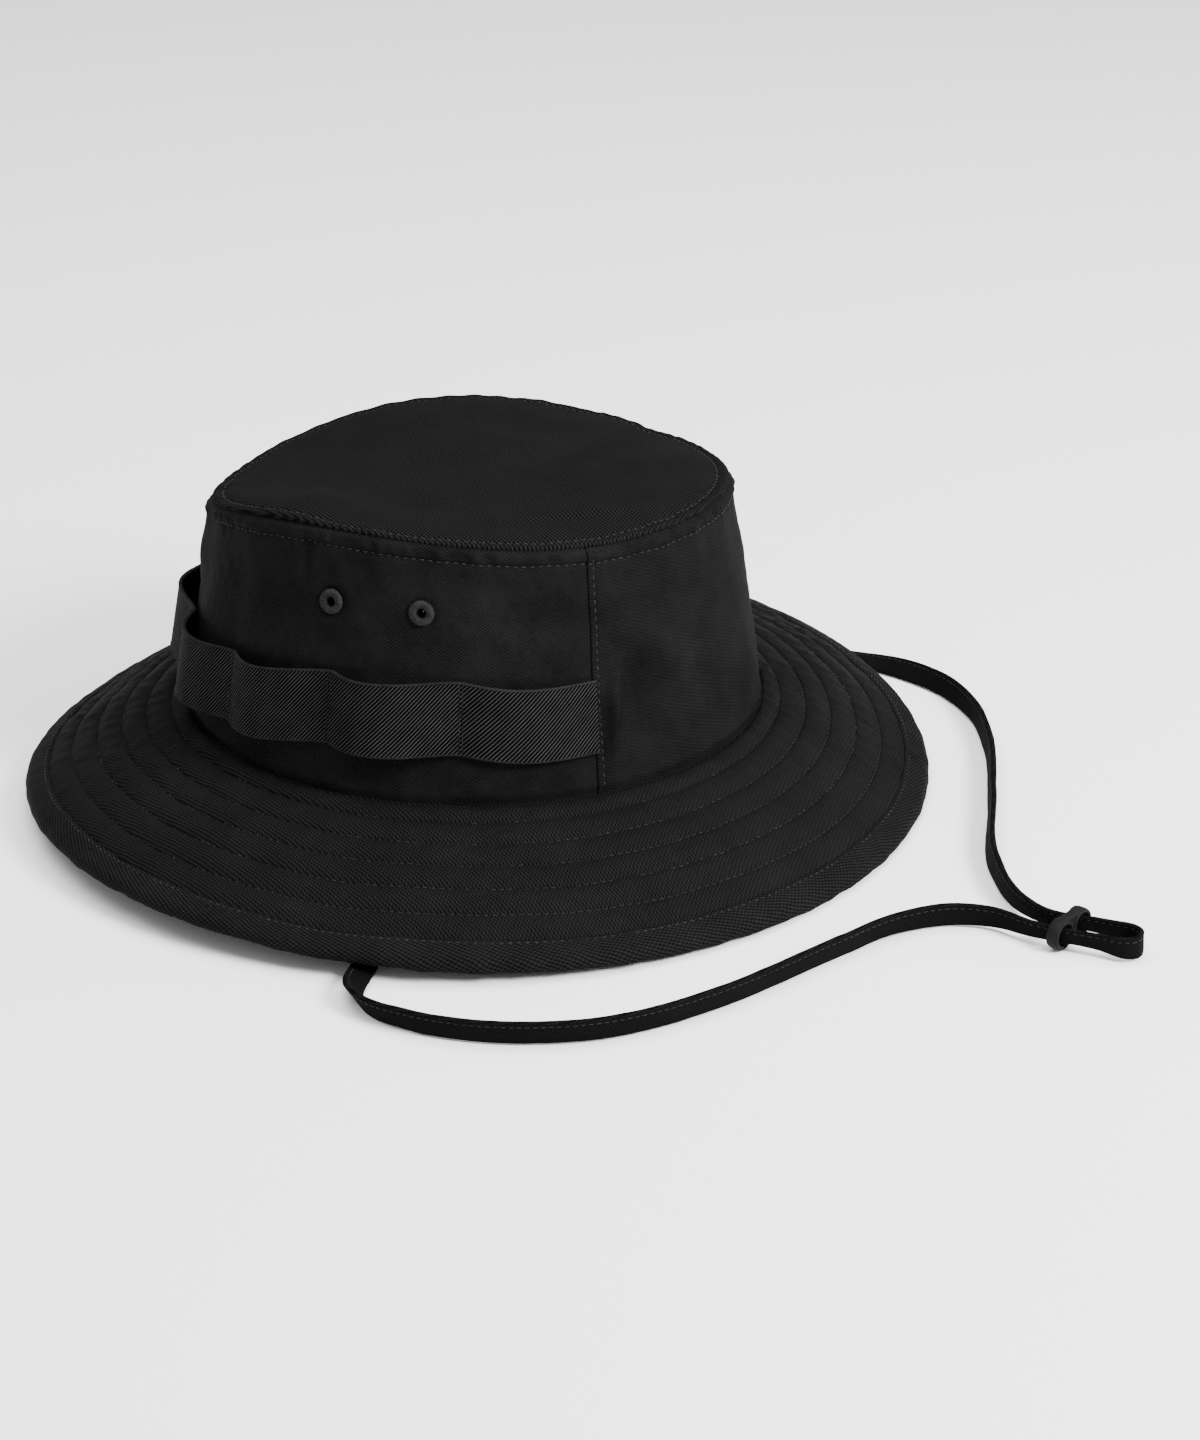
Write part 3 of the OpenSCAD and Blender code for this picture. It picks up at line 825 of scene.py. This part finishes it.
def slider_body():
    """The bead without its rims, from a bevelled outline with two holes."""
    curve = bpy.data.curves.new("slider_outline", "CURVE")
    curve.dimensions = "2D"
    curve.fill_mode = "BOTH"
    curve.extrude = (0.5 * SLIDER_THICK - SLIDER_BEVEL) * MM
    curve.bevel_depth = SLIDER_BEVEL * MM
    curve.bevel_resolution = 5
    hole = SLIDER_HOLE + SLIDER_BEVEL
    turn = np.linspace(0, 2 * math.pi, 48, endpoint=False)
    circle = [(hole * math.cos(t), hole * math.sin(t)) for t in turn]
    loops = [slider_outline(SLIDER_END - SLIDER_BEVEL)]
    loops += [[(x + side * STRAND, y) for x, y in circle] for side in (-1, 1)]
    for loop in loops:
        spline = curve.splines.new("POLY")
        spline.points.add(len(loop) - 1)
        for point, (x, y) in zip(spline.points, loop):
            point.co = (x * MM, y * MM, 0, 1)
        spline.use_cyclic_u = True
    shape = bpy.data.objects.new("slider_shape", curve)
    bpy.context.scene.collection.objects.link(shape)
    bpy.context.view_layer.update()
    source = shape.evaluated_get(bpy.context.evaluated_depsgraph_get())
    mesh = bpy.data.meshes.new_from_object(source)
    bpy.data.objects.remove(shape)
    verts = [np.array(v.co) / MM for v in mesh.vertices]
    faces = [tuple(p.vertices) for p in mesh.polygons]
    bpy.data.meshes.remove(mesh)
    return verts, faces


def slider_rim(side, face, base):
    """A raised ring round one hole, on one face of the bead."""
    count, section = 48, 10
    verts = []
    for i in range(count):
        t = 2 * math.pi * i / count
        for j in range(section):
            p = 2 * math.pi * j / section
            r = SLIDER_HOLE + 0.75 + 0.6 * math.cos(p)
            verts.append(np.array((side * STRAND + r * math.cos(t), r * math.sin(t),
                                   face * (0.5 * SLIDER_THICK + SLIDER_RIM * math.sin(p)))))
    return verts, torus_faces(count, section, base)


def slider_piece():
    """The whole bead, set askew on its two strands."""
    verts, faces = slider_body()
    for side in (-1, 1):
        for face in (-1, 1):
            ring, ring_faces = slider_rim(side, face, len(verts))
            verts += ring
            faces += ring_faces
    turned = SLIDER_HEADING + SLIDER_TURN
    heading = np.array([math.cos(turned), math.sin(turned), 0])
    sideways = np.array([math.sin(turned), -math.cos(turned), 0])
    axes = np.stack([sideways, np.array([0, 0, 1.0]), heading])
    placed = np.array(verts) @ axes + np.array(SLIDER_CENTRE)
    obj = mesh_object("slider_bead", placed, faces, placed, RUBBER, body="slider")
    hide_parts("cord_slider")
    return obj


slider = slider_piece()
cord, cord_line = chin_cord()
cord_stitches = stitches("cord_edge_stitching", cord_stitch_runs(), THREAD)


def anchor_tab(side, node):
    """Folded tab that holds one end of the cord in the crown seam."""
    low, high = (np.array(v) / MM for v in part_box(node))
    y, z = np.meshgrid(np.linspace(low[1], high[1], 12), np.linspace(low[2], high[2], 14),
                       indexing="ij")
    edge = 0.35 * (bump(y - low[1], 0.8) + bump(y - high[1], 0.8) + bump(z - low[2], 0.8))
    x = (low[0] if side < 0 else high[0]) + side * (0.05 - edge) + 0.08 * soft_noise(y, z, 0, 4, 95)
    face = np.stack([x, y, z], axis=-1)
    grain = np.stack([y, z, 0 * y], axis=-1)
    obj = shell(node + "_tab", face, grain, TAB_CLOTH, CORD_TWILL, flip=side < 0)
    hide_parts(node)


anchor_tab(-1, "cord_anchor_right")
anchor_tab(1, "cord_anchor_left")


# ---------------------------------------------------------------- crown

def eyelet_frames():
    """Centre, outward, along and up directions of each eyelet on the wall."""
    out = []
    for angle in EYELET_ANGLES:
        a = np.array([angle])
        s = wall_share(a, EYELET_HEIGHT)
        centre = wall_cloth(a, s)[0]
        up = (wall_point(a, s + 0.05, 0) - wall_point(a, s - 0.05, 0))[0]
        along = (wall_point(a + 1, s, 0) - wall_point(a - 1, s, 0))[0]
        up /= np.linalg.norm(up)
        along /= np.linalg.norm(along)
        outward = np.cross(along, up)
        out.append((centre, outward, along, up))
    return out


EYELETS = eyelet_frames()


def tuck(a, start, end, under_start, under_end):
    """How far a panel's margin drops to lie under its neighbour's edge."""
    clear = np.full_like(a, -5.0)
    before = wall_arc(start - a) if under_start else clear
    after = wall_arc(a - end) if under_end else clear
    return 1.15 * smoothstep(-0.05, 0.3, np.maximum(before, after))


def crown_panel(name, start, end, material, nodes, under_start=False, under_end=False):
    """One panel of the crown wall, its margins under its neighbours where it says so."""
    margin = wall_turn(2.5)
    first = start - margin * under_start
    last = end + margin * under_end
    edge = np.arange(0, 2.4 * margin, 0.15 * margin)
    inside = np.linspace(first + 2.4 * margin, last - 2.4 * margin, wall_steps(last - first, 1.1))
    angles = np.concatenate([first + edge, inside, (last - edge)[::-1]])
    shares = np.concatenate([np.linspace(-0.03, 0.93, 74), np.linspace(0.937, 1, 18)])
    a, s = np.meshgrid(angles, shares, indexing="ij")
    lift = wall_relief(a, s) + seam_ridge(a) - tuck(a, start, end, under_start, under_end)
    outer = wall_point(a, s, lift)
    for centre, outward, _, _ in EYELETS:
        off = np.linalg.norm(outer - centre, axis=-1, keepdims=True)
        outer = outer - outward * (0.7 * bump(off - EYELET_RIM, 1.1) + 0.3 * bump(off, 9))
    middle = 0.5 * (outer[:-1, :-1] + outer[1:, 1:])
    skip = np.zeros(middle.shape[:2], bool)
    for centre, _, _, _ in EYELETS:
        skip |= np.linalg.norm(middle - centre, axis=-1) < EYELET_CUT
    obj = shell(name, outer, wall_grain(a, s), CROWN_CLOTH, material, skip=skip)
    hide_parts(*nodes)


crown_panel("front_panel_cloth", RIGHT_SEAM - 360, LEFT_SEAM, FRONT_TWILL, ("front_panel",))
crown_panel("side_panel_right_cloth", REAR, RIGHT_SEAM, CROWN_TWILL,
            ("side_panel_right", "side_panel_right_rear"), under_end=True)
crown_panel("side_panel_left_cloth", LEFT_SEAM, REAR, CROWN_TWILL,
            ("side_panel_left", "side_panel_left_rear"), under_start=True, under_end=True)


def tip_panel():
    """The crown's oval top, with its mesh rows closest together at the seam."""
    shares = 1 - np.linspace(0, 0.985, 76) ** 1.5
    a, q = np.meshgrid(np.arange(0, 360, 0.75), shares, indexing="ij")
    outer = tip_cloth(a, q)
    hub = tip_cloth(np.zeros(1), np.zeros(1))[0]
    obj = shell("crown_tip_cloth", outer, plan_grain(outer), CROWN_CLOTH, TIP_TWILL,
                wrap=True, hub=hub)
    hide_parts("crown_tip")


tip_panel()


def tip_run(inset):
    """Round the top, an inset in mm from its seam."""
    a = np.arange(0, 360.5, 0.5)
    return surface_run(tip_cloth, a, np.full_like(a, 1 - inset / TIP_RADIUS), 0.2, -1)


def wall_run(drop):
    """Round the wall, a drop in mm below the top seam."""
    a = np.arange(0, 360.5, 0.5)
    return surface_run(wall_cloth, a, np.full_like(a, 1 - drop / WALL_DROP), 0.3, 1)


def seam_run(seam, offset):
    """Down an upright seam, an offset in mm to one side of it."""
    s = np.linspace(0.02, 0.965, 160)
    return surface_run(wall_cloth, np.full_like(s, seam + wall_turn(offset)), s, 0.12, 1)


stitches("crown_topstitching",
         [tip_run(5.0), wall_run(4.6), seam_run(RIGHT_SEAM, 2.2), seam_run(LEFT_SEAM, -2.2),
          seam_run(REAR, 2.4), seam_run(REAR, -2.4)], THREAD)


def eyelet_mesh():
    """Four embroidered rings of radiating stitches, each round a hole that narrows inwards."""
    around_n = 144
    turn = np.linspace(0, 2 * math.pi, around_n, endpoint=False)
    thread = np.abs(np.sin(17 * turn + 0.6 * np.sin(3 * turn) + 0.4 * np.sin(5 * turn)))
    # Radius, height, how much the stitches stand out, and how deep in the hole, which darkens the
    # thread there as painted shade
    section = [(4.05, -0.9, 0, 0), (4.15, 0.0, 0.25, 0), (4.0, 0.55, 0.3, 0), (3.4, 0.85, 0.35, 0),
               (2.6, 0.95, 0.35, 0), (1.9, 0.8, 0.3, 0), (1.45, 0.4, 0.15, 0.3),
               (1.25, -0.3, 0.1, 0.9), (1.2, -1.2, 0, 1), (0.7, -2.2, 0, 1), (0.3, -2.4, 0, 1),
               (0.3, -2.9, 0, 1), (2.0, -2.9, 0, 0.3), (3.6, -2.2, 0, 0)]
    verts, grain, faces = [], [], []
    for centre, outward, along, up in EYELETS:
        base = len(verts) * around_n
        for radius, height, stand, deep in section:
            r = radius + (0.15 * thread * stand if radius > 3.8 else 0 * thread)
            h = height + stand * (thread - 0.5)
            spoke = np.cos(turn)[:, None] * along + np.sin(turn)[:, None] * up
            verts.append(centre + spoke * r[:, None] + outward * h[:, None])
            flat = np.ones_like(turn)
            # grain.z is how deep in the hole, for the painted shade there
            grain.append(np.stack([turn * 3, radius * flat, deep * flat], -1))
        faces += torus_faces(len(section), around_n, base)
    obj = mesh_object("eyelet_embroidery", np.concatenate(verts), faces, np.concatenate(grain),
                      EYELET_THREAD)
    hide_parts("eyelets")


eyelet_mesh()


# ---------------------------------------------------------------- brim

def brim_rings(d_end):
    """Distances of the brim's mesh rings, closest together beside the stitch rows."""
    ease = 0.5 - 0.5 * np.cos(np.pi * np.arange(13) / 13)
    edges = [0.0] + ROWS
    rings = [start + (end - start) * ease for start, end in zip(edges, edges[1:])]
    out = np.concatenate([[-1.6, -0.8]] + rings + [[edges[-1]]])
    return np.concatenate([out[out < d_end - 0.5], [d_end]])


def brim_shell(name, surface, material, nodes, flip):
    """One cloth of the brim, from the crown seam to inside the binding."""
    a, d = np.meshgrid(np.arange(0, 360, 0.8), brim_rings(BRIM_WIDTH - 5), indexing="ij")
    outer = surface(a, d)
    obj = shell(name, outer, plan_grain(outer), BRIM_CLOTH, material, wrap=True, flip=flip)
    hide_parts(*nodes)


brim_shell("brim_upper_cloth", brim_top, BRIM_TWILL,
           ("brim_upper", "brim_interlining"), True)
brim_shell("brim_under_cloth", brim_bottom, UNDER_TWILL, ("brim_under",), False)


def binding_profile(phase):
    """Distance out and height of the binding's section: phase 0 on top to 1 underneath."""
    reach = BINDING_WIDTH + 0.4
    turn = 2.05
    flat = 2 * (reach - turn) + math.pi * turn
    run = phase * flat
    top = run < reach - turn
    low = run > reach - turn + math.pi * turn
    angle = np.clip((run - (reach - turn)) / turn, 0, math.pi)
    out = np.where(top, run, np.where(low, flat - run, reach - turn + turn * np.sin(angle)))
    height = np.where(top, turn, np.where(low, -turn, turn * np.cos(angle)))
    return BRIM_WIDTH - reach + out, height, run


def brim_binding():
    """The folded edge binding, creased across its fold, with one slanting lapped join."""
    a, phase = np.meshgrid(np.arange(0, 360, 0.6), np.linspace(0, 1, 36), indexing="ij")
    d, h, run = binding_profile(phase)
    arc = np.radians(a) * EDGE_RADIUS
    inner = bump(run, 1.2) + bump(run - run.max(), 1.2)
    crease = ring_noise(a + 0.3 * run, EDGE_RADIUS, 0.5 * run, 11, 71)
    crease = crease + 0.5 * ring_noise(a, EDGE_RADIUS, 1.2 * run, 4.5, 72)
    full = np.sin(np.pi * np.clip(run / 7.5, 0, 1)) ** 0.8
    join = np.radians(around(a, BINDING_JOIN)) * EDGE_RADIUS - 0.25 * (d - 50)
    lap = 0.35 * smoothstep(-0.3, 0.3, join) * (1 - smoothstep(6, 9, join)) - 0.5 * bump(join, 0.6)
    top = np.where(h > 0, 1.0, -1.0)
    h = h + top * (0.35 * full + 0.20 * crease - 0.45 * inner + lap)
    d = d + np.where(np.abs(h) < 1.6, 0.25 * ring_noise(a, EDGE_RADIUS, 0, 15, 73), 0)
    h = np.maximum(h, -BRIM_HALF + 0.02)
    outer = brim_point(a, d, h)
    grain = np.stack([arc, run, 0 * run], axis=-1)
    obj = shell("brim_edge_binding", outer, grain, BINDING_CLOTH, BINDING_TWILL,
                wrap=True, flip=True)
    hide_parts("brim_binding")


brim_binding()


def brim_run(surface, d, sign, lift):
    a = np.arange(0, 360.4, 0.4)
    return surface_run(surface, a, np.full_like(a, d), lift, sign)


def binding_line(a, d):
    """The binding's upper face, for the row of stitches that holds it."""
    return brim_point(a, d, 2.0 + 0 * d)


top_runs = [brim_run(brim_top, d, -1, 0.3) for d in ROWS[:-1]]
top_runs.append(brim_run(binding_line, BRIM_WIDTH - BINDING_WIDTH + 1.0, -1, 0.1))
top_stitches = stitches("brim_topstitching", top_runs, BRIM_THREAD)
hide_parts("brim_stitching")
under_runs = [brim_run(brim_bottom, d, 1, 0.10) for d in ROWS[:-1]]
stitches("brim_bobbin_stitching", under_runs, BRIM_THREAD)


# ---------------------------------------------------------------- webbing

def webbing_band():
    """The elastic band.  Its grain's third part is 1 on the ribs and 0 on the plain edges."""
    start, end = LEFT_SEAM - 0.4, RIGHT_SEAM + 0.4
    a, w = np.meshgrid(np.arange(start, end, 0.25), np.linspace(0, 1, 49), indexing="ij")
    face = webbing_face(a, w)
    steps = np.linalg.norm(np.diff(face[:, 24], axis=0), axis=1)
    length = np.concatenate([[0], np.cumsum(steps)])
    length = np.broadcast_to(length[:, None], a.shape)
    body = smoothstep(0.025, 0.05, w) * (1 - smoothstep(0.95, 0.975, w))
    grain = np.stack([length, w * WEBBING_WIDTH, body], axis=-1)
    obj = shell("webbing_loops", face, grain, WEBBING_THICK - 0.1, WEBBING)
    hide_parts("webbing_band")


def tack_run(index, offset):
    """Up the webbing between two loops, an offset in mm to one side."""
    a = RIGHT_SEAM - index * LOOP_ARC + wall_turn(offset)
    w = np.linspace(0.04, 0.96, 60)
    return surface_run(webbing_face, np.full_like(w, a), w, 0.1, 1, pitch=1.6, length=1.2, width=0.45)


webbing_band()
tacks = [tack_run(i, offset) for i in range(1, 2 * LOOPS_PER_SIDE) for offset in (-0.5, 0.5)]
tack_stitches = stitches("webbing_tack_stitching", tacks, TACK_THREAD)
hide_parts("webbing_bar_tacks")


# ---------------------------------------------------------------- inside of the crown

def inner_layer(name, start, end, low, high, inset, thick, material, node, wrap=False, rows=14):
    """A band on the inside of the crown wall, between two shares of its height."""
    angles = np.linspace(start, end, wall_steps(end - start, 2.4) + 2, endpoint=not wrap)
    a, s = np.meshgrid(angles, np.linspace(low, high, rows), indexing="ij")
    ease = 0.18 * ring_noise(a, 94, s * WALL_SPAN, 20, 81)
    face = wall_point(a, s, 0.6 * wall_relief(a, s) - inset + ease)
    obj = shell(name, face, wall_grain(a, s), thick, material, wrap=wrap)
    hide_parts(node)


WALL_HEIGHT = TIP_HEIGHT - SEAT_HEIGHT
inner_layer("sweatband_cloth", 0, 360, 0.0, SWEATBAND_HEIGHT / WALL_HEIGHT, 1.9, SWEATBAND_THICK,
            SWEAT_KNIT, "sweatband", wrap=True, rows=20)
inner_layer("tip_seam_binding", 0, 360, 0.905, 0.985, 1.6, 0.6,
            LINING, "tip_seam_tape", wrap=True)
for name, seam in (("front_right", RIGHT_SEAM), ("front_left", LEFT_SEAM), ("rear", REAR)):
    inner_layer("seam_binding_" + name, seam - 4, seam + 4, 0.42, 0.88, 2.4, 0.5,
                LINING, "seam_tape_" + name)
inner_layer("care_label_cloth", REAR + 6, REAR + 22, 0.13, 0.39, 3.6, 0.35,
            LABEL, "care_label")


def sweatband_run():
    """Stitches round the inside, just below the sweatband's upper edge."""
    a = np.arange(0, 360.5, 0.5)
    points = wall_point(a, np.full_like(a, 0.37), -3.4)
    normals = -np.stack([np.cos(np.radians(a)), np.sin(np.radians(a)), 0 * a], axis=1)
    return points, normals, 2.6, 1.9, 0.5


stitches("sweatband_stitching", [sweatband_run()], THREAD)


# ---------------------------------------------------------------- stage

def area_light(name, place, target, size, power):
    data = bpy.data.lights.new(name, "AREA")
    data.shape = "RECTANGLE"
    data.size, data.size_y = size
    data.energy = power
    light = bpy.data.objects.new(name, data)
    light.location = place
    light.rotation_euler = (Vector(target) - Vector(place)).to_track_quat("-Z", "Y").to_euler()
    bpy.context.scene.collection.objects.link(light)


def set_world(strength):
    world = bpy.data.worlds.new("studio")
    bpy.context.scene.world = world
    world.use_nodes = True
    background = world.node_tree.nodes["Background"]
    background.inputs["Color"].default_value = (1, 1, 1, 1)
    background.inputs["Strength"].default_value = strength


def pale_floor():
    size = 6.0
    corners = [(-size, -size, 0), (size, -size, 0), (size, size, 0), (-size, size, 0)]
    mesh = bpy.data.meshes.new("floor")
    mesh.from_pydata(corners, [], [(0, 1, 2, 3)])
    floor = bpy.data.objects.new("floor", mesh)
    floor.location = (0, 0, -0.0002)
    bpy.context.scene.collection.objects.link(floor)
    n = Nodes("pale_floor")
    tone = n.noise(n.add("ShaderNodeTexCoord").outputs["Object"], 2.0)
    colour = n.ramp(tone, [(0.0, grey(0.93)), (1.0, grey(0.96))])
    n.link(colour, n.shader.inputs["Base Color"])
    n.shader.inputs["Roughness"].default_value = 0.9
    mesh.materials.append(n.material)


pale_floor()
set_world(0.7)
area_light("key", (-0.45, -1.25, 0.95), (0, 0, 0.05), (0.5, 0.5), 62)
area_light("side", (0.7, -1.2, 0.45), (0, 0, 0.03), (0.35, 0.35), 6)
area_light("top", (0.0, 0.1, 1.5), (0, 0, 0.05), (1.6, 1.6), 42)
